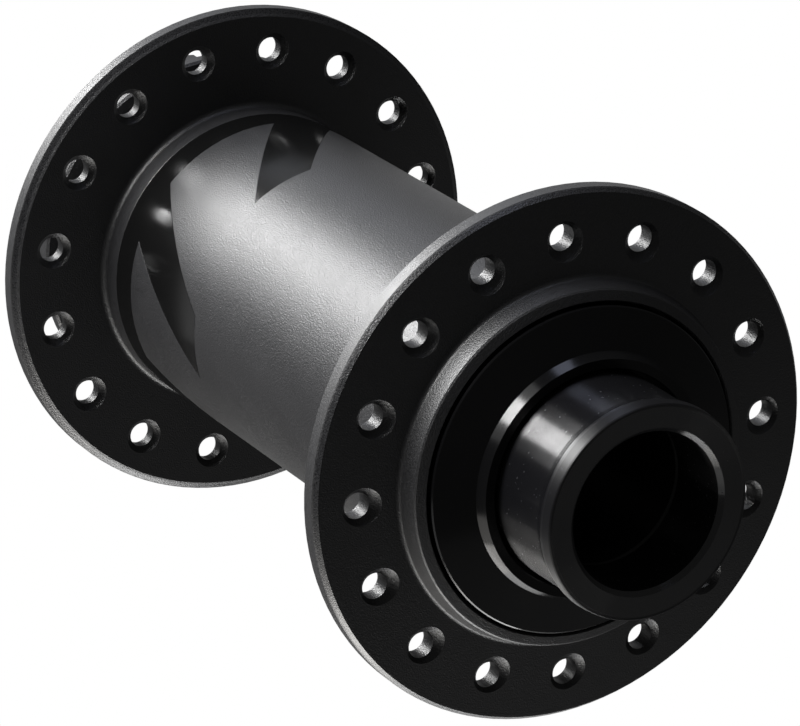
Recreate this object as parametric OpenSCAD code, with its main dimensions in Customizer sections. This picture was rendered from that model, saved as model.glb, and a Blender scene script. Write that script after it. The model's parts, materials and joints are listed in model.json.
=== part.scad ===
// Front disc hub for a 15 x 100 mm thru axle, 32 spokes, splined rotor mount.
// The wheel axis is the Y axis, and the origin is midway between the two end faces.
// -Y is the right-hand end, the one nearest in the photo; +Y is the disc side.
// All sizes are in millimetres.

/* [Axle standard] */
// Distance between the two end faces that the fork clamps
over_locknut = 100; // [96:0.5:110]
// Radius of the hole for the thru axle
axle_bore_r = 7.52; // [7.3:0.01:7.6]

/* [Flanges] */
// Radius of each spoke flange
flange_r = 25.62; // [24.6:0.1:29]
// Thickness of the right flange at its rim
right_flange_t = 2.47; // [2:0.01:3.2]
// Thickness of the left flange
left_flange_t = 2.38; // [2:0.01:3.2]
// Distance from the right end face to the rim of the right flange's outer face
right_flange_inset = 14.71; // [14:0.01:16]
// Rise of the right flange's outer face from its rim to the foot of the boss
right_face_rise = 0.9; // [0.2:0.05:1.3]
// Distance from the left end face to the outer face of the left flange
left_flange_inset = 18.46; // [17.6:0.01:22]
// Chamfer on the flange rims, measured along the radius
rim_chamfer_r = 0.4; // [0.2:0.05:0.8]
// Chamfer on the flange rims, measured along the axis
rim_chamfer_y = 0.54; // [0.2:0.02:0.9]
// Chamfer on the inner edge of the left flange, measured along the radius
left_chamfer_r = 0.75; // [0.2:0.05:1]
// Radius of the fillet between the barrel and each flange
root_fillet = 0.6; // [0.4:0.1:1.6]

/* [Spoke holes] */
// Number of spoke holes in each flange
spoke_count = 16; // [12:1:18]
// Radius of the circle that the spoke holes lie on
spoke_circle_r = 21.3; // [20.8:0.05:23]
// Radius of a spoke hole
spoke_hole_r = 1.25; // [1.1:0.05:1.35]
// Width and depth of the countersink at both ends of a spoke hole
spoke_sink = 0.6; // [0.1:0.05:0.65]

/* [Barrel] */
// Outer radius of the barrel between the flanges
barrel_r = 15.45; // [15.2:0.05:17]
// Inner radius of the barrel between the two bearings
barrel_bore_r = 12.8; // [12.4:0.1:13]

/* [Right boss] */
// Radius of the boss on the right flange, at its top
boss_top_r = 17.1; // [16.8:0.05:18]
// Draft of the side of the boss, in degrees
boss_draft = 15; // [0:0.5:20]
// Height of the boss's outer edge above the rim of the flange's face
boss_h = 2.92; // [2.6:0.02:4]
// Rise of the boss top from its outer edge to the recess
boss_top_rise = 0.3; // [0:0.05:0.6]
// Radius of the recess that holds the right cover
recess_r = 15.95; // [15.9:0.01:16.1]
// Radius of the fillet at the foot of the boss
boss_fillet = 0.5; // [0.2:0.05:1]

/* [Rotor mount] */
// Distance from the left end face to the face that the brake rotor rests on
rotor_face_inset = 12.84; // [12:0.02:13.6]
// Radius of the disc behind the rotor
rotor_seat_r = 19; // [18.6:0.05:20]
// Thickness of the disc behind the rotor
rotor_seat_t = 1.75; // [1.4:0.05:2.2]
// Radius over the tips of the splines
spline_tip_r = 17.1; // [16.9:0.05:17.2]
// Radius at the roots of the splines
spline_root_r = 16.3; // [16:0.05:16.5]
// Length of the splines
spline_l = 6.9; // [6:0.1:7.4]
// Number of splines
spline_count = 36; // [30:1:40]
// Radius of the lockring thread at its crests
lockring_bore_r = 14.45; // [14.35:0.01:14.5]
// Depth of the lockring thread from the end of the splines
lockring_bore_l = 8.2; // [8:0.1:8.6]

/* [Bearings] */
// Distance from each end face to the middle of the bearing there
bearing_inset = 18.35; // [18.35:0.05:18.6]
// Outer radius of a bearing
bearing_r = 14; // [13.8:0.05:14.1]
// Width of a bearing
bearing_w = 7; // [6.6:0.1:7]
// Radius of a ball
ball_r = 1.75; // [1.6:0.01:1.77]
// Radius of the circle that the balls run on
ball_circle_r = 11.25; // [11.2:0.01:11.3]
// Number of balls in a bearing
ball_count = 14; // [10:1:15]

/* [Axle sleeve] */
// Outer radius of the sleeve inside the bearings and the end caps
sleeve_r = 8.5; // [8.4:0.01:8.6]
// Outer radius of the sleeve between the bearings
sleeve_mid_r = 9.7; // [9.3:0.05:10]
// Distance from each end face to the end of the sleeve
sleeve_inset = 7.35; // [7:0.05:8]
// Length of the fitted bore at each end of the sleeve
sleeve_pilot_l = 3.1; // [2:0.1:6]
// Radius of the wider bore in the middle of the sleeve
sleeve_relief_r = 7.85; // [7.6:0.05:8]

/* [End caps] */
// Radius of the neck of an end cap at its foot
neck_foot_r = 10; // [9.9:0.01:10.05]
// Radius of the neck of an end cap at its top
neck_top_r = 9.9; // [9.85:0.01:10]
// Largest radius of the lip that sits in the fork
lip_r = 10.28; // [10.1:0.01:10.5]
// Radius of the end face
end_face_r = 10.1; // [10:0.01:10.3]
// Length of the lip
lip_l = 1.1; // [0.8:0.05:1.6]
// Length of the flare between neck and lip
flare_l = 1.48; // [1:0.02:2]
// Chamfer at the mouth of the axle hole
mouth_chamfer = 0.43; // [0.2:0.01:0.6]
// Thickness of the ring inside a side cover that the end cap presses on
cover_web_t = 1.75; // [1.5:0.05:2]

/* [Side covers] */
// Outer radius of the right cover
right_cover_r = 15.67; // [15.5:0.01:15.7]
// Outer radius of the left cover
left_cover_r = 14.05; // [13.8:0.01:14.1]
// Distance from the end face to the rim of the right cover
right_cover_drop = 11.33; // [11:0.01:11.5]
// Distance from the end face to the rim of the left cover
left_cover_drop = 10.8; // [10.5:0.01:11]
// Radius of the foot of the raised ring on a cover
ring_foot_r = 11.82; // [11.7:0.01:11.9]
// Radius of the raised ring at its top
ring_top_r = 11.36; // [11.2:0.01:11.5]
// Distance from the end face to the foot of the raised ring
ring_foot_drop = 10.04; // [9.8:0.01:10.2]
// Distance from the end face to the top of the raised ring
ring_top_drop = 9.1; // [8.9:0.01:9.3]
// Gap between the raised ring and the neck of the end cap
neck_gap = 0.4; // [0.3:0.01:0.42]

/* [Hidden] */
// Radial play where one part slides or turns on another
slide_gap = 0.02;
// Gap left between a pressed ring and its seat
press_gap = 0.01;
// Steps in a rounded corner
arc_steps = 12;

end_y = over_locknut / 2;
right_flange_y = end_y - right_flange_inset;   // outer face of the right flange
left_flange_y = end_y - left_flange_inset;     // outer face of the left flange
rotor_face_y = end_y - rotor_face_inset;
bearing_y = end_y - bearing_inset;
sleeve_half_l = end_y - sleeve_inset;
spline_end_y = rotor_face_y + spline_l;
boss_y = right_flange_y + boss_h;
boss_edge = 0.14;         // chamfer on the outer edge of the boss
// Radius where the foot fillet of the boss meets the flange's face
boss_foot_r = boss_top_r + (boss_h - right_face_rise - boss_fillet - boss_edge) * tan(boss_draft)
    + boss_fillet / cos(boss_draft);
recess_edge = 0.15;       // chamfer on the mouth of the recess
face_r = flange_r - rim_chamfer_r;                      // radius of a flange's flat face
face_slope = atan(right_face_rise / (face_r - boss_foot_r));
// Rise of the right flange's face at the circle of spoke holes
spoke_rise = right_face_rise * (face_r - spoke_circle_r) / (face_r - boss_foot_r);
spoke_sink_over = 0.4;    // how far a countersink tool reaches out of the face
edge = 0.25;              // small chamfer on a turned edge
bearing_out_y = bearing_y + bearing_w / 2;
bearing_in_y = bearing_y - bearing_w / 2;
spoke_pitch = 360 / spoke_count;
rotor_neck_r = spline_tip_r - 0.2;                      // neck between left flange and rotor seat
spline_lead = 0.5;        // chamfer at the end of the splines
spline_gap_w = PI * (spline_tip_r + spline_root_r) / spline_count / 2;
thread_lead = 0.4;        // chamfer at the mouth of the lockring thread
thread_runout = 0.45;     // cone between the thread and the bearing seat
seat_lead = 0.2;          // chamfer at the mouth of the right bearing seat
recess_drop = 0.15;       // from the bearing face to the floor of the right recess

// Bearing section
race_groove_r = ball_r + slide_gap;
inner_race_r = ball_circle_r - 1;
outer_race_r = ball_circle_r + 1;
race_corner = 0.3;
race_bore_r = sleeve_r + press_gap;
seal_land_r = inner_race_r - 0.35;
seal_seat_r = outer_race_r + 0.65;
seal_snap = 0.12;         // height of the edge that the seal snaps behind
seal_mouth_r = seal_seat_r - seal_snap;
seal_in = 0.9;            // depth of the seal seat from the bearing face
seal_out = 0.35;          // depth of the outer side of the seal
seal_play = 0.05;         // gap between the bead of a seal and its seat
seal_lip_gap = 0.06;
seal_lip_t = 0.25;        // thickness of the lip of a seal
land_edge = 0.1;          // chamfer on the outer edge of an inner race
cage_t = 1.2;             // radial thickness of the cage
cage_back = 2.2;          // from the ball centres to the closed side of the cage
cage_front = 0.7;         // from the ball centres to the open side of the cage
cage_play = 0.06;         // gap between a ball and its pocket

// End cap section
cap_in_y = bearing_out_y + cover_web_t + slide_gap;
cap_bore_y = sleeve_half_l + 0.1;
cap_counter_r = sleeve_r + slide_gap;
lip_y = end_y - lip_l;
neck_top_y = lip_y - flare_l;
ring_section_r = 0.48;    // half the thickness of the rubber ring
ring_centre_r = cap_counter_r + ring_section_r;
ring_groove_w = 1.3;
ring_groove_y = cap_in_y + 2.3;
face_edge = 0.1;          // thin chamfer on the end face of a cap

// Side cover section
cover_bore_r = neck_foot_r + neck_gap;
cover_hub_r = inner_race_r - 0.4;
cover_lift = 0.6;         // gap between the underside of a cover and the bearing
cover_edge = 0.12;        // thin chamfer on the rim of a cover
cover_wall = 1.1;
cover_inner_r = sleeve_r + 0.06;
ring_edge = 0.1;          // chamfer inside the raised ring

hub_shell();
axle_sleeve();
right_end_cap();
left_end_cap();
right_side_cover();
left_side_cover();
right_cap_o_ring();
left_cap_o_ring();
right_bearing_outer_race();
right_bearing_inner_race();
right_bearing_balls();
right_bearing_cage();
right_bearing_outer_seal();
right_bearing_inner_seal();
left_bearing_outer_race();
left_bearing_inner_race();
left_bearing_balls();
left_bearing_cage();
left_bearing_outer_seal();
left_bearing_inner_seal();

// Points of a rounded corner about (cr, cy), from angle a0 to a1
function corner(cr, cy, r, a0, a1) =
    [for (i = [0 : arc_steps]) let (a = a0 + (a1 - a0) * i / arc_steps)
        [cr + r * cos(a), cy + r * sin(a)]];

// Turns a profile of [radius, distance along Y] about the wheel axis
module turned(profile) {
    rotate([-90, 0, 0]) rotate_extrude($fn = 96) polygon(profile);
}

// Mirrors a left-hand piece to the right-hand end
module at_right() {
    mirror([0, 1, 0]) children();
}

module rod(r, y0, y1, fn = 96) {
    translate([0, y0, 0]) rotate([-90, 0, 0]) cylinder(r = r, h = y1 - y0, $fn = fn);
}

// One spoke hole with a countersink at each face of a flange
module spoke_hole(y0, y1) {
    cone_h = spoke_sink + spoke_sink_over;
    rod(spoke_hole_r, y0 - 1, y1 + 1, 32);
    translate([0, y0 - spoke_sink_over, 0]) rotate([-90, 0, 0])
        cylinder(r1 = spoke_hole_r + cone_h, r2 = spoke_hole_r, h = cone_h, $fn = 32);
    translate([0, y1 - spoke_sink, 0]) rotate([-90, 0, 0])
        cylinder(r1 = spoke_hole_r, r2 = spoke_hole_r + cone_h, h = cone_h, $fn = 32);
}

module spoke_circle(y0, y1, phase) {
    for (i = [0 : spoke_count - 1])
        rotate([0, -(phase + i * spoke_pitch), 0]) translate([spoke_circle_r, 0, 0]) spoke_hole(y0, y1);
}

// Outline of the shell, right-hand end first, without its bore
function shell_outside() = let (
        ro = -right_flange_y, ri = -right_flange_y + right_flange_t,
        lo = left_flange_y, li = left_flange_y - left_flange_t,
        seat_in = rotor_face_y - rotor_seat_t) concat(
    [[recess_r, recess_edge - boss_y - boss_top_rise], [recess_r + recess_edge, -boss_y - boss_top_rise],
     [boss_top_r - boss_edge, -boss_y], [boss_top_r, boss_edge - boss_y]],
    corner(boss_foot_r, ro - right_face_rise - boss_fillet, boss_fillet, 180 - boss_draft, 90 + face_slope),
    [[face_r, ro], [flange_r, ro + rim_chamfer_y],
     [flange_r, ri - rim_chamfer_y], [face_r, ri]],
    corner(barrel_r + root_fillet, ri + root_fillet, root_fillet, 270, 180),
    corner(barrel_r + root_fillet, li - root_fillet, root_fillet, 180, 90),
    [[flange_r - left_chamfer_r, li], [flange_r, li + rim_chamfer_y],
     [flange_r, lo - rim_chamfer_y], [face_r, lo]],
    corner(rotor_neck_r + root_fillet, lo + root_fillet, root_fillet, 270, 180),
    [[rotor_neck_r, seat_in - edge], [rotor_neck_r + edge, seat_in],
     [rotor_seat_r - edge, seat_in], [rotor_seat_r, seat_in + edge],
     [rotor_seat_r, rotor_face_y - edge], [rotor_seat_r - edge, rotor_face_y],
     [spline_tip_r, rotor_face_y], [spline_tip_r, spline_end_y - spline_lead],
     [spline_tip_r - spline_lead, spline_end_y]]);

// Bore of the shell, left-hand end first
function shell_inside() = [
    [lockring_bore_r + thread_lead, spline_end_y], [lockring_bore_r, spline_end_y - thread_lead],
    [lockring_bore_r, spline_end_y - lockring_bore_l],
    [bearing_r, spline_end_y - lockring_bore_l - thread_runout],
    [bearing_r, bearing_in_y], [barrel_bore_r, bearing_in_y],
    [barrel_bore_r, -bearing_in_y], [bearing_r, -bearing_in_y],
    [bearing_r, -bearing_out_y], [bearing_r + seat_lead, -bearing_out_y - recess_drop],
    [recess_r, -bearing_out_y - recess_drop]];

module hub_shell() {
    color([0.09, 0.09, 0.1]) difference() {
        turned(concat(shell_outside(), shell_inside()));
        spoke_circle(-right_flange_y - spoke_rise, -right_flange_y + right_flange_t, 0);
        spoke_circle(left_flange_y - left_flange_t, left_flange_y, spoke_pitch / 2);
        for (i = [0 : spline_count - 1])
            rotate([0, i * 360 / spline_count, 0])
                translate([spline_root_r, rotor_face_y, -spline_gap_w / 2])
                    cube([spline_tip_r - spline_root_r + 1, spline_l + 1, spline_gap_w]);
    }
}

module axle_sleeve() {
    relief_y = sleeve_half_l - sleeve_pilot_l;
    relief_drop = sleeve_relief_r - axle_bore_r;
    lead = 2 * edge;
    half = [
        [sleeve_relief_r, relief_y - relief_drop], [axle_bore_r, relief_y],
        [axle_bore_r, sleeve_half_l - edge], [axle_bore_r + edge, sleeve_half_l],
        [sleeve_r - edge, sleeve_half_l], [sleeve_r, sleeve_half_l - lead],
        [sleeve_r, bearing_in_y], [sleeve_mid_r, bearing_in_y]];
    other = [for (i = [len(half) - 1 : -1 : 0]) [half[i][0], -half[i][1]]];
    color([0.05, 0.05, 0.05]) turned(concat(half, other));
}

module end_cap() {
    gap0 = ring_groove_y - ring_groove_w / 2;
    gap1 = ring_groove_y + ring_groove_w / 2;
    groove_r = ring_centre_r + ring_section_r + slide_gap;
    color([0.03, 0.03, 0.035]) turned([
        [cap_counter_r + edge, cap_in_y], [neck_foot_r - edge, cap_in_y], [neck_foot_r, cap_in_y + edge],
        [neck_top_r, neck_top_y], [lip_r, lip_y], [end_face_r + face_edge, end_y - face_edge],
        [end_face_r, end_y],
        [axle_bore_r + mouth_chamfer, end_y], [axle_bore_r, end_y - mouth_chamfer],
        [axle_bore_r, cap_bore_y + face_edge], [axle_bore_r + face_edge, cap_bore_y],
        [cap_counter_r, cap_bore_y], [cap_counter_r, gap1], [groove_r, gap1],
        [groove_r, gap0], [cap_counter_r, gap0], [cap_counter_r, cap_in_y + edge]]);
}

module right_end_cap() { at_right() end_cap(); }
module left_end_cap() { end_cap(); }

module cap_o_ring() {
    color([0.05, 0.05, 0.05]) translate([0, ring_groove_y, 0]) rotate([-90, 0, 0])
        rotate_extrude($fn = 96) translate([ring_centre_r + slide_gap / 2, 0])
            circle(r = ring_section_r - slide_gap / 4, $fn = 32);
}

module right_cap_o_ring() { at_right() cap_o_ring(); }
module left_cap_o_ring() { cap_o_ring(); }

// A cover with an outer radius of r whose rim lies drop below the end face
module side_cover(r, drop) {
    under_y = bearing_out_y + cover_lift;
    rim_y = end_y - drop;
    foot_y = end_y - ring_foot_drop;
    top_y = end_y - ring_top_drop;
    slope = (foot_y - rim_y) / (r - ring_foot_r);
    pocket_in = ring_foot_r - edge / 2;
    pocket_out = r - cover_wall;
    color([0.02, 0.02, 0.022]) turned([
        [cover_inner_r, bearing_out_y], [cover_hub_r, bearing_out_y], [cover_hub_r, under_y],
        [pocket_in, under_y], [pocket_in, foot_y - cover_wall],
        [pocket_out, rim_y + slope * cover_wall - cover_wall], [pocket_out, under_y], [r, under_y],
        [r, rim_y], [r - cover_edge, rim_y + cover_edge], [ring_foot_r, foot_y], [ring_top_r, top_y],
        [cover_bore_r + ring_edge, top_y], [cover_bore_r, top_y - ring_edge],
        [cover_bore_r, bearing_out_y + cover_web_t], [cover_inner_r, bearing_out_y + cover_web_t]]);
}

module right_side_cover() { at_right() side_cover(right_cover_r, right_cover_drop); }
module left_side_cover() { side_cover(left_cover_r, left_cover_drop); }

// Bearing pieces are drawn about the middle of the bearing
module at_left_bearing() { translate([0, bearing_y, 0]) children(); }
module at_right_bearing() { mirror([0, 1, 0]) translate([0, bearing_y, 0]) children(); }

module ball_groove() {
    rotate([-90, 0, 0]) rotate_extrude($fn = 96)
        translate([ball_circle_r, 0]) circle(r = race_groove_r, $fn = 48);
}

module outer_race() {
    h = bearing_w / 2;
    r = bearing_r - press_gap;
    half = [[r - race_corner, h], [r, h - race_corner]];
    inner_half = [
        [outer_race_r, h - seal_in - edge], [seal_seat_r, h - seal_in],
        [seal_seat_r, h - seal_out + seal_play], [seal_mouth_r, h - seal_out + seal_play + seal_snap],
        [seal_mouth_r, h]];
    color([0.7, 0.71, 0.73]) difference() {
        turned(concat(
            half, [for (i = [1 : -1 : 0]) [half[i][0], -half[i][1]]],
            [for (i = [4 : -1 : 0]) [inner_half[i][0], -inner_half[i][1]]], inner_half));
        ball_groove();
    }
}

module inner_race() {
    h = bearing_w / 2;
    half = [
        [race_bore_r, h - race_corner], [race_bore_r + race_corner, h], [seal_land_r - land_edge, h],
        [seal_land_r, h - land_edge], [seal_land_r, h - seal_in - edge],
        [inner_race_r, h - seal_in - edge - inner_race_r + seal_land_r]];
    color([0.7, 0.71, 0.73]) difference() {
        turned(concat(half, [for (i = [5 : -1 : 0]) [half[i][0], -half[i][1]]]));
        ball_groove();
    }
}

module balls() {
    color([0.8, 0.81, 0.83]) for (i = [0 : ball_count - 1])
        rotate([0, i * 360 / ball_count, 0]) translate([ball_circle_r, 0, 0])
            sphere(r = ball_r, $fn = 48);
}

// Snap-in cage, open towards +Y
module cage() {
    cage_in = ball_circle_r - cage_t / 2;
    cage_out = ball_circle_r + cage_t / 2;
    color([0.5, 0.47, 0.38]) difference() {
        turned([[cage_in, -cage_back], [cage_out, -cage_back],
            [cage_out, cage_front], [cage_in, cage_front]]);
        for (i = [0 : ball_count - 1])
            rotate([0, i * 360 / ball_count, 0]) translate([ball_circle_r, 0, 0])
                // Turned so that the poles and the seam of the sphere lie outside the cage
                rotate([90, 0, 0]) rotate([0, 90, 0]) sphere(r = ball_r + cage_play, $fn = 48);
    }
}

// Seal at the +Y side of a bearing, snapped into the outer race
module bearing_seal() {
    h = bearing_w / 2;
    bead_r = seal_seat_r - slide_gap;
    lip_r0 = seal_land_r + seal_lip_gap;
    bulge = 0.1;
    color([0.04, 0.04, 0.05]) turned([
        [bead_r, h - seal_in + seal_play], [bead_r, h - seal_out],
        [seal_mouth_r - bulge, h - seal_out + bulge],
        [outer_race_r - bulge, h - seal_out + bulge], [inner_race_r + 4 * bulge, h - seal_out],
        [lip_r0, h - seal_out - bulge], [lip_r0, h - seal_out - bulge - seal_lip_t],
        [inner_race_r + bulge, h - seal_in + bulge],
        [outer_race_r - 2 * bulge, h - seal_in + seal_play]]);
}

module right_bearing_outer_race() { at_right_bearing() outer_race(); }
module right_bearing_inner_race() { at_right_bearing() inner_race(); }
module right_bearing_balls() { at_right_bearing() balls(); }
module right_bearing_cage() { translate([0, -bearing_y, 0]) cage(); }
module right_bearing_outer_seal() { at_right_bearing() bearing_seal(); }
module right_bearing_inner_seal() { translate([0, -bearing_y, 0]) bearing_seal(); }
module left_bearing_outer_race() { at_left_bearing() outer_race(); }
module left_bearing_inner_race() { at_left_bearing() inner_race(); }
module left_bearing_balls() { at_left_bearing() balls(); }
module left_bearing_cage() { at_left_bearing() mirror([0, 1, 0]) cage(); }
module left_bearing_outer_seal() { at_left_bearing() bearing_seal(); }
module left_bearing_inner_seal() { at_left_bearing() mirror([0, 1, 0]) bearing_seal(); }
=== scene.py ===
"""Looks of a front disc hub: a blasted black shell with gloss black caps, seen on white."""

import json
import math

import bpy
from mathutils import Matrix, Vector

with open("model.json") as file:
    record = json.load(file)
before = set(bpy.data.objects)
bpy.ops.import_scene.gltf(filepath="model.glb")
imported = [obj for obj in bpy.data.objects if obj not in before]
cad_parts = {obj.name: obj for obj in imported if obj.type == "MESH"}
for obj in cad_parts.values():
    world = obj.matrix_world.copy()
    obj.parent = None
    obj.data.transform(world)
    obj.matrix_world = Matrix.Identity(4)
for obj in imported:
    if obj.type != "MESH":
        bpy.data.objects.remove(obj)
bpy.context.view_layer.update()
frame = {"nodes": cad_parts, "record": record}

MM = 0.001

# Camera that the photo was solved with: place in millimetres, then its three axes in the row frame
CAMERA_PLACE = (-199.696, -374.26, 162.324)
CAMERA_RIGHT = (0.876451, -0.48115, -0.018128)
CAMERA_UP = (0.189064, 0.30928, 0.931987)
CAMERA_BACK = (-0.442819, -0.820269, 0.362037)
CAMERA_LENS = 210.671
SENSOR_WIDTH = 36.0
CAMERA_REACH = (0.01, 10.0)  # nearest and farthest distance that it sees, in metres

# Lamps on a sphere round the hub: name, angle round the axis from +X towards +Z, lift towards +Y,
# spread round the axis and along it (all in degrees), radiance and colour
LAMP_DISTANCE = 0.6
WHITE = (1.0, 1.0, 1.0)
LAMPS = (
    ("key low", 132, 8.5, 20, 20, 69.0, WHITE),
    ("key middle", 132, 29, 22, 22, 13.0, WHITE),
    ("key high", 132, 51, 24, 22, 11.0, WHITE),
    ("key edge right low", 114, 7, 12, 22, 2.0, WHITE),
    ("key edge right middle", 114, 29, 12, 22, 5.0, WHITE),
    ("key edge right high", 114, 51, 12, 22, 34.0, WHITE),
    ("key edge left low", 150, 7, 12, 22, 1.5, WHITE),
    ("key edge left", 150, 40, 12, 44, 4.0, WHITE),
    ("top strip low", 84, 7, 14, 30, 3.0, (0.72, 0.78, 1.0)),
    ("top strip", 75, 40, 30, 30, 1.6, (0.90, 0.93, 1.0)),
    ("right card", 20, 45, 60, 30, 0.25, WHITE),
    ("left card", 195, 45, 40, 30, 0.25, WHITE),
    ("low left edge", 222, 9, 20, 44, 1.4, (1.0, 0.97, 0.93)),
    ("low left front", 218, -22, 30, 16, 0.8, WHITE),
    ("low left strip", 245, -2, 23, 22, 11.0, (1.0, 0.98, 0.95)),
    ("low left strip back", 245, 20, 23, 22, 4.0, (1.0, 0.98, 0.95)),
    ("floor strip", 268, -2, 23, 22, 8.0, WHITE),
    ("floor strip back", 268, 20, 23, 22, 0.6, WHITE),
    ("low right strip", 291, 20, 23, 22, 1.2, WHITE),
    ("front card", 270, -40, 120, 40, 0.08, WHITE),
)
# White paper behind the hub, seen only in glancing reflections: size in metres and radiance
PAPER_SIZE = 0.7
PAPER = 0.15
# Radiance of the dim grey room that the gloss mirrors
ROOM = 0.07

# Places that the shell's material changes at, in millimetres: the radii between which the barrel
# lies, those of the side of the boss and its place along the axis, the radius at which the rims'
# chamfers start, and how wide these are
BARREL = (15.15, 15.47)
BOSS_SIDE = (16.9, 18.3)
BOSS_Y = -36.2
RIM_R = 25.1
CHAMFER = 0.42

# The grain that blasting leaves: features in a millimetre, depth in millimetres, the part of the
# depth that turned places keep, and roughness from pits to peaks
GRAIN_SCALE = 7.0
GRAIN_DEPTH = 0.046
TURNED_GRAIN = 0.6
GRAIN_ROUGH = (0.34, 0.46)
# What large soft patches, turned places and chamfers add to the roughness
PATCH_SCALE = 0.25
PATCH_ROUGH = 0.015
TURNED_ROUGH = 0.04
CHAMFER_ROUGH = -0.14
SHELL_IOR = 1.6
SHELL_PITS = (0.004, 0.004, 0.0045)
SHELL_PEAKS = (0.012, 0.012, 0.013)

# The graphic on the barrel: a ring, and bars between two places along the axis. The bars lie
# BAR_STEP degrees apart and are BAR_WIDTH wide, and turn by BAR_SLANT in a millimetre. EDGE and
# BAR_EDGE soften its outline.
RING = (23.2, 26.5)
BARS = (9.0, 24.0)
BAR_STEP = 72.0
BAR_WIDTH = 24.0
BAR_SLANT = 2.6
BAR_START = 26.0
BAR_EDGE = 0.4
EDGE = 0.04
GRAPHIC_ROUGH = 0.17
GRAPHIC_COLOR = (0.002, 0.002, 0.002)

# The lip at the end of a cap: where it starts along the axis, a radius between the neck's and its
# own, and what it adds to the roughness
LIP_Y = 48.4
LIP_R = 9.9
LIP_ROUGH = 0.36

# Dust on the gloss pieces: noise features in a millimetre, roughness and colour
DUST_SCALE = 3.0
DUST_ROUGH = 0.6
DUST_COLOR = (0.02, 0.02, 0.022)
# Part of a full turn that lays the long side of a highlight across the lathe marks
ACROSS_MARKS = 0.25

# Noise lies mostly between these values
NOISE = (0.3, 0.7)


# Node helpers
class Shader:
    """A material with short calls for the nodes that it is built from."""

    def __init__(self, name):
        self.material = bpy.data.materials.new(name)
        self.material.use_nodes = True
        self.tree = self.material.node_tree
        self.surface = self.tree.nodes["Principled BSDF"]
        coordinates = self.node("ShaderNodeTexCoord")
        scaled = self.node("ShaderNodeVectorMath", operation="SCALE")
        self.put(scaled.inputs[0], coordinates.outputs["Object"])
        scaled.inputs["Scale"].default_value = 1 / MM
        self.point = scaled.outputs[0]  # in millimetres, in the row frame

    def node(self, kind, **settings):
        """Adds a node with the given settings."""
        made = self.tree.nodes.new(kind)
        for key, value in settings.items():
            setattr(made, key, value)
        return made

    def put(self, socket, value):
        """Links an output to a socket, or sets a plain number or colour on it."""
        if hasattr(value, "is_linked"):
            self.tree.links.new(value, socket)
        elif value is not None:
            socket.default_value = value

    def math(self, operation, a, b=None):
        """One step of arithmetic on numbers or outputs."""
        made = self.node("ShaderNodeMath", operation=operation)
        self.put(made.inputs[0], a)
        self.put(made.inputs[1], b)
        return made.outputs[0]

    def ramp(self, value, low, high, to_low=0.0, to_high=1.0):
        """Maps low to high onto to_low to to_high, and stops at both ends."""
        made = self.node("ShaderNodeMapRange")
        self.put(made.inputs["Value"], value)
        for socket, number in zip(made.inputs[1:5], (low, high, to_low, to_high)):
            socket.default_value = number
        return made.outputs[0]

    def band(self, value, low, high, soft):
        """1 between low and high, 0 outside."""
        return self.math("MULTIPLY", self.ramp(value, low - soft, low + soft),
                         self.ramp(value, high - soft, high + soft, 1.0, 0.0))

    def polar(self):
        """Radius, distance along the axis, and angle in degrees from +X towards +Z."""
        split = self.node("ShaderNodeSeparateXYZ")
        self.put(split.inputs[0], self.point)
        x, y, z = split.outputs
        square = self.math("ADD", self.math("MULTIPLY", x, x), self.math("MULTIPLY", z, z))
        angle = self.math("MULTIPLY", self.math("ARCTAN2", z, x), 180 / math.pi)
        return self.math("SQRT", square), y, angle

    def noise(self, scale, detail=2.0, roughness=0.5):
        """Noise with scale features in a millimetre."""
        made = self.node("ShaderNodeTexNoise")
        self.put(made.inputs["Vector"], self.point)
        made.inputs["Scale"].default_value = scale
        made.inputs["Detail"].default_value = detail
        made.inputs["Roughness"].default_value = roughness
        return made.outputs["Fac"]

    def turned_noise(self, radius, along, scale):
        """Noise that is constant round the axis, like the marks of a lathe tool."""
        joined = self.node("ShaderNodeCombineXYZ")
        self.put(joined.inputs[0], radius)
        self.put(joined.inputs[1], along)
        made = self.node("ShaderNodeTexNoise")
        self.put(made.inputs["Vector"], joined.outputs[0])
        made.inputs["Scale"].default_value = scale
        made.inputs["Detail"].default_value = 3.0
        return made.outputs["Fac"]

    def mix(self, factor, a, b):
        """Blends two numbers."""
        made = self.node("ShaderNodeMix", data_type="FLOAT")
        for socket, value in zip((made.inputs[0], made.inputs[2], made.inputs[3]), (factor, a, b)):
            self.put(socket, value)
        return made.outputs[0]

    def mix_color(self, factor, a, b):
        """Blends two colours."""
        made = self.node("ShaderNodeMix", data_type="RGBA")
        for socket, value in zip((made.inputs[0], made.inputs[6], made.inputs[7]), (factor, a, b)):
            self.put(socket, (*value, 1.0) if isinstance(value, tuple) else value)
        return made.outputs[2]

    def bump(self, height, distance, strength=1.0):
        """Bumps of the given height map, distance millimetres deep."""
        made = self.node("ShaderNodeBump")
        self.put(made.inputs["Height"], height)
        made.inputs["Distance"].default_value = distance * MM
        made.inputs["Strength"].default_value = strength
        self.put(self.surface.inputs["Normal"], made.outputs[0])

    def finish(self, **sockets):
        """Sets the named sockets of the surface, and gives the material."""
        for name, value in sockets.items():
            value = (*value, 1.0) if isinstance(value, tuple) else value
            self.put(self.surface.inputs[name.replace("_", " ")], value)
        return self.material


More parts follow.
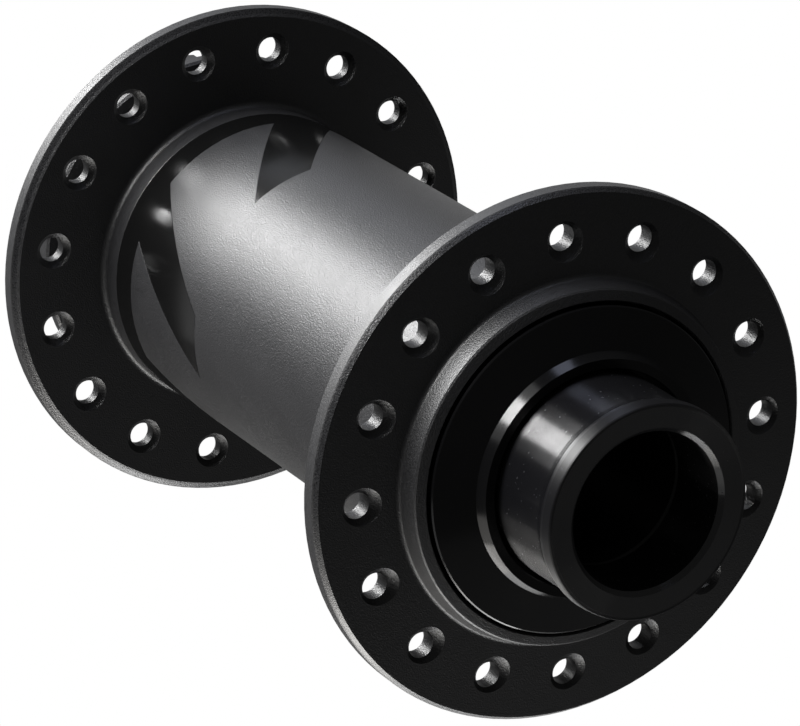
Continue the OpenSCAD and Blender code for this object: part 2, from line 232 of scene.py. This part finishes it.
# Materials
def blasted_shell():
    """Bead-blasted black anodised aluminium, with a gloss black graphic on the barrel."""
    s = Shader("blasted shell")
    radius, along, angle = s.polar()
    grain = s.noise(GRAIN_SCALE, detail=1.0)
    patches = s.noise(PATCH_SCALE, detail=3.0)

    # A ring with slanted bars at the left end of the barrel
    slant = s.math("ADD", angle, s.math("MULTIPLY", along, BAR_SLANT))
    bar = s.math("PINGPONG", s.math("SUBTRACT", slant, BAR_START), BAR_STEP / 2)
    gap = (BAR_STEP - BAR_WIDTH) / 2
    drawn = s.math("MULTIPLY", s.ramp(bar, gap - BAR_EDGE, gap), s.band(along, *BARS, EDGE))
    drawn = s.math("MAXIMUM", drawn, s.band(along, *RING, EDGE))
    drawn = s.math("MULTIPLY", drawn, s.band(radius, *BARREL, 0.02))

    color = s.mix_color(s.ramp(grain, 0.3, 0.75), SHELL_PITS, SHELL_PEAKS)
    color = s.mix_color(drawn, color, GRAPHIC_COLOR)

    # Rims and the side of the boss have a flatter grain and are a little duller
    rim = s.ramp(radius, RIM_R - 0.05, RIM_R + 0.05)
    boss = s.math("MULTIPLY", s.band(radius, *BOSS_SIDE, 0.1), s.ramp(along, BOSS_Y, BOSS_Y - 0.2))
    turned = s.math("MAXIMUM", rim, boss)
    rough = s.math("ADD", s.ramp(grain, *NOISE, *GRAIN_ROUGH),
                   s.ramp(patches, *NOISE, -PATCH_ROUGH, PATCH_ROUGH))
    rough = s.math("ADD", rough, s.math("MULTIPLY", turned, TURNED_ROUGH))
    # The thin chamfers beside the rims are cut last and shine a little more
    chamfer = s.band(radius, RIM_R, RIM_R + CHAMFER, 0.03)
    rough = s.math("ADD", rough, s.math("MULTIPLY", chamfer, CHAMFER_ROUGH))

    height = s.math("MULTIPLY", grain, s.math("SUBTRACT", 1.0, drawn))
    height = s.math("MULTIPLY", height, s.ramp(turned, 0.0, 1.0, 1.0, TURNED_GRAIN))
    s.bump(height, GRAIN_DEPTH)
    s.surface.inputs["IOR"].default_value = SHELL_IOR
    return s.finish(Base_Color=color, Roughness=s.mix(drawn, rough, GRAPHIC_ROUGH))


def turned_gloss(name, color, rough, anisotropy, ior, marks, dust=0.9):
    """Smooth turned black anodising: its highlights are drawn out across the lathe marks.

    marks is the number of lathe marks in a millimetre. Dust lies where the noise is above dust.
    """
    s = Shader(name)
    radius, along, _ = s.polar()
    rings = s.turned_noise(radius, along, marks)
    smear = s.noise(0.5, detail=3.0)
    dull = s.math("ADD", s.ramp(rings, *NOISE, rough - 0.01, rough + 0.01),
                  s.ramp(smear, 0.35, 0.7, -0.01, 0.01))

    # The lip of a cap is duller, and so are the specks of dust
    lip = s.math("MULTIPLY", s.ramp(s.math("ABSOLUTE", along), LIP_Y - 0.2, LIP_Y + 0.2),
                 s.ramp(radius, LIP_R - 0.1, LIP_R + 0.1))
    dull = s.math("ADD", dull, s.math("MULTIPLY", lip, LIP_ROUGH))
    specks = s.ramp(s.noise(DUST_SCALE, detail=1.0, roughness=0.4), dust, dust + 0.02)
    dull = s.mix(specks, dull, DUST_ROUGH)
    color = s.mix_color(specks, color, DUST_COLOR)

    s.bump(rings, distance=0.002, strength=0.15)
    tangent = s.node("ShaderNodeTangent", direction_type="RADIAL", axis="Y")
    s.put(s.surface.inputs["Tangent"], tangent.outputs[0])
    s.surface.inputs["Anisotropic"].default_value = anisotropy
    s.surface.inputs["Anisotropic Rotation"].default_value = ACROSS_MARKS
    s.surface.inputs["IOR"].default_value = ior
    return s.finish(Base_Color=color, Roughness=dull)


def turned_metal(name, color, rough, marks):
    """Bare turned or ground metal."""
    s = Shader(name)
    radius, along, _ = s.polar()
    rings = s.turned_noise(radius, along, marks)
    shade = s.mix_color(s.ramp(rings, *NOISE), tuple(0.9 * c for c in color), color)
    s.bump(rings, distance=0.003, strength=0.5)
    return s.finish(Base_Color=shade, Metallic=1.0,
                    Roughness=s.ramp(rings, *NOISE, rough, rough + 0.12))


def polished_balls():
    """Ground and polished bearing steel."""
    s = Shader("polished balls")
    marks = s.noise(1.5, detail=4.0)
    s.bump(marks, distance=0.001, strength=0.3)
    return s.finish(Base_Color=(0.78, 0.79, 0.81), Metallic=1.0,
                    Roughness=s.ramp(marks, *NOISE, 0.05, 0.12))


def moulded(name, color, rough, grain_scale):
    """Moulded rubber or plastic with a fine skin."""
    s = Shader(name)
    grain = s.noise(grain_scale, detail=3.0)
    shade = s.mix_color(s.ramp(grain, *NOISE), tuple(0.8 * c for c in color), color)
    s.bump(grain, distance=0.01, strength=0.4)
    return s.finish(Base_Color=shade, Roughness=s.ramp(grain, *NOISE, rough - 0.06, rough + 0.06))


def make_materials():
    """The material of each slot that the record names."""
    return {
        "shell_black": blasted_shell(),
        "cap_black": turned_gloss("turned cap", (0.003, 0.003, 0.0035), rough=0.25,
                                  anisotropy=1.0, ior=1.75, marks=2.5, dust=0.745),
        "cover_black": turned_gloss("gloss cover", (0.002, 0.002, 0.0022), rough=0.18,
                                    anisotropy=0.5, ior=1.38, marks=5.0),
        "sleeve_black": turned_gloss("turned sleeve", (0.004, 0.004, 0.004), rough=0.40,
                                     anisotropy=0.8, ior=1.5, marks=3.0),
        "race_steel": turned_metal("ground steel", (0.52, 0.53, 0.55), rough=0.14, marks=8.0),
        "ball_steel": polished_balls(),
        "cage_plastic": moulded("cage plastic", (0.38, 0.31, 0.17), rough=0.5, grain_scale=5.0),
        "seal_rubber": moulded("seal rubber", (0.03, 0.03, 0.035), rough=0.55, grain_scale=6.0),
        "o_ring_rubber": moulded("ring rubber", (0.02, 0.02, 0.02), rough=0.45, grain_scale=8.0),
    }


def dress_nodes(looks):
    """Gives every CAD node the material of the slot that its record names."""
    slots = {part["node"]: part["material_slot"] for part in frame["record"]["subparts"]}
    for name, node in frame["nodes"].items():
        for held in node.material_slots:
            held.material = looks[slots[name]]


# Camera, lights and backdrop
def make_camera():
    """The photo's camera."""
    data = bpy.data.cameras.new("camera")
    data.lens, data.sensor_width = CAMERA_LENS, SENSOR_WIDTH
    data.clip_start, data.clip_end = CAMERA_REACH
    camera = bpy.data.objects.new("camera", data)
    bpy.context.scene.collection.objects.link(camera)
    turn = Matrix((CAMERA_RIGHT, CAMERA_UP, CAMERA_BACK)).transposed()
    camera.matrix_world = Matrix.Translation(Vector(CAMERA_PLACE) * MM) @ turn.to_4x4()
    bpy.context.scene.camera = camera


def lamp_facing_hub(name, back, length, width, radiance, color):
    """A rectangular lamp in the direction of back, with its length along the hub's axis."""
    along = (Vector((0, 1, 0)) - back * back.y).normalized()
    data = bpy.data.lights.new(name, "AREA")
    data.shape = "RECTANGLE"
    data.size, data.size_y = length, width
    # The power of a lamp that has this radiance all over
    data.energy = radiance * math.pi * length * width
    data.color = color
    lamp = bpy.data.objects.new(name, data)
    bpy.context.scene.collection.objects.link(lamp)
    turn = Matrix((along, back.cross(along), back)).transposed()
    lamp.matrix_world = Matrix.Translation(back * LAMP_DISTANCE) @ turn.to_4x4()
    lamp.visible_camera = False


def make_lights():
    """The lamps of the photo's studio, and the white paper behind the hub."""
    for name, angle, lift, across, along, radiance, color in LAMPS:
        angle, lift = math.radians(angle), math.radians(lift)
        flat = math.cos(lift)
        back = Vector((flat * math.cos(angle), math.sin(lift), flat * math.sin(angle)))
        length = 2 * LAMP_DISTANCE * math.tan(math.radians(along / 2))
        width = 2 * LAMP_DISTANCE * flat * math.tan(math.radians(across / 2))
        lamp_facing_hub(name, back, length, width, radiance, color)
    lamp_facing_hub("paper", -Vector(CAMERA_BACK), PAPER_SIZE, PAPER_SIZE, PAPER, WHITE)


def make_world():
    """White behind the hub, and a dim grey room for everything else."""
    world = bpy.data.worlds.new("world")
    world.use_nodes = True
    bpy.context.scene.world = world
    nodes, links = world.node_tree.nodes, world.node_tree.links
    nodes.clear()
    out = nodes.new("ShaderNodeOutputWorld")
    choose = nodes.new("ShaderNodeMixShader")
    path = nodes.new("ShaderNodeLightPath")
    room, white = nodes.new("ShaderNodeBackground"), nodes.new("ShaderNodeBackground")
    room.inputs["Color"].default_value = (ROOM, ROOM, ROOM, 1)
    white.inputs["Color"].default_value = (1, 1, 1, 1)
    links.new(path.outputs["Is Camera Ray"], choose.inputs["Fac"])
    links.new(room.outputs[0], choose.inputs[1])
    links.new(white.outputs[0], choose.inputs[2])
    links.new(choose.outputs[0], out.inputs["Surface"])


dress_nodes(make_materials())
make_camera()
make_lights()
make_world()
bpy.context.scene.view_settings.view_transform = "Standard"
